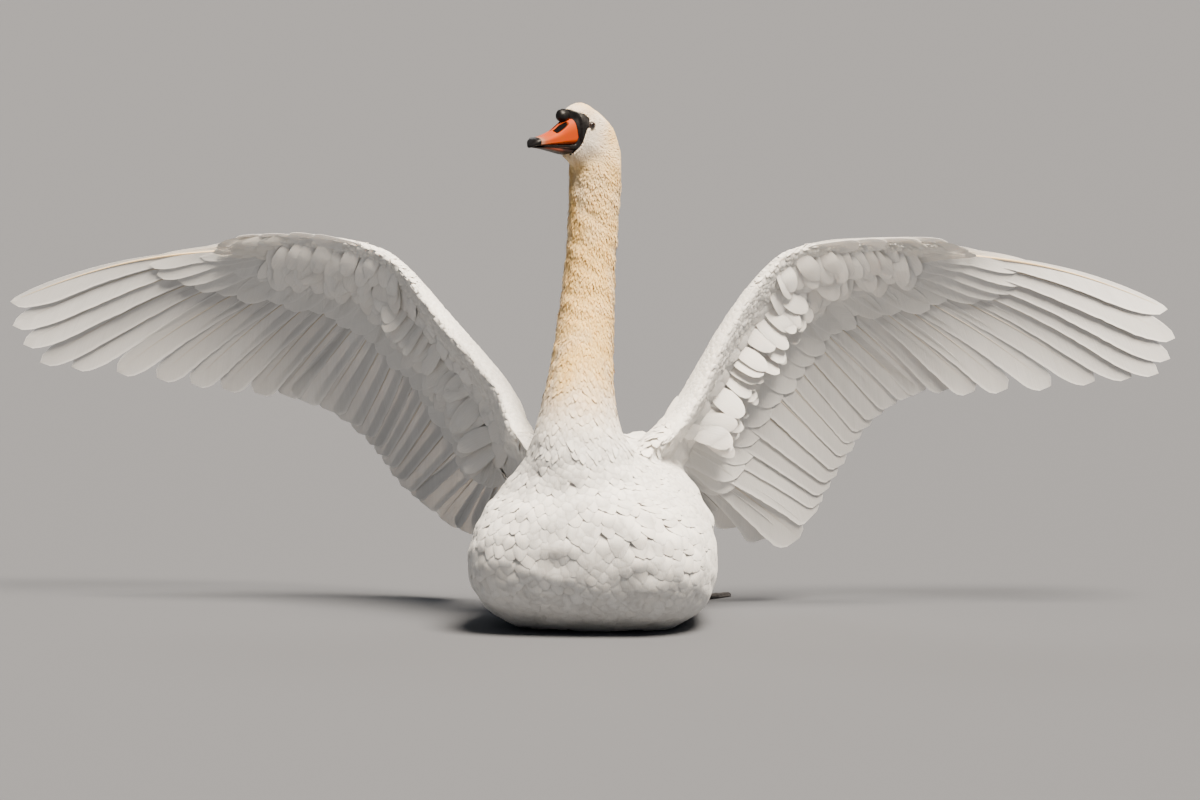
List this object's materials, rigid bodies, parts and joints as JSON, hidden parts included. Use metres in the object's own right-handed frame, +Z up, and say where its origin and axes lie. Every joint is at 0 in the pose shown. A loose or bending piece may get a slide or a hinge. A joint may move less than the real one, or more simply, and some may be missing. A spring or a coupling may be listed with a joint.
{
  "type": "life-size mute swan model",
  "caption": "Still life-size mute swan resting on its belly, wings raised and spread, neck upright, head turned to its right.",
  "frame": {"origin": "on the floor under the belly, on the bird's own centre line near the middle of its flat underside", "axes": "+Z up, the breast faces -Y, the bird's left wing is on +X"},
  "size_m": [1.7675, 0.8364, 0.7901],
  "materials": {
    "head_plumage": "short dense cream-white feathers, matt",
    "neck_plumage": "fine ruffled cream-buff feathers, matt",
    "body_plumage": "soft rounded white contour feathers, matt",
    "wing_plumage": "small white covert feathers, matt",
    "covert_feather": "rounded white covert feathers, silky",
    "flight_feather": "stiff white quills with pale shafts, silky",
    "bill_orange": "smooth orange horn, slightly glossy",
    "black_skin": "black horn and bare skin, slightly glossy",
    "eye": "dark brown, wet and glossy",
    "leg_skin": "black scaly skin, matt"
  },
  "bodies": {
    "root": {"alula_left": "flight_feather", "alula_right": "flight_feather", "bill_knob": "black_skin", "bill_lower": "black_skin", "bill_nail": "black_skin", "bill_upper": "bill_orange", "breast": "body_plumage", "eye_left": "eye", "eye_right": "eye", "foot_left": "leg_skin", "foot_right": "leg_skin", "head": "head_plumage", "leg_left": "leg_skin", "leg_right": "leg_skin", "neck_lower": "neck_plumage", "neck_upper": "neck_plumage", "primaries_left": "flight_feather", "primaries_right": "flight_feather", "rump": "body_plumage", "scapulars_left": "body_plumage", "scapulars_right": "body_plumage", "secondaries_left": "flight_feather", "secondaries_right": "flight_feather", "tail_feathers": "flight_feather", "tertials_left": "flight_feather", "tertials_right": "flight_feather", "trunk": "body_plumage", "under_coverts_left": "covert_feather", "under_coverts_right": "covert_feather", "upper_coverts_left": "covert_feather", "upper_coverts_right": "covert_feather", "wing_arm_left": "wing_plumage", "wing_arm_right": "wing_plumage", "wing_hand_left": "wing_plumage", "wing_hand_right": "wing_plumage"}
  },
  "joints": []
}
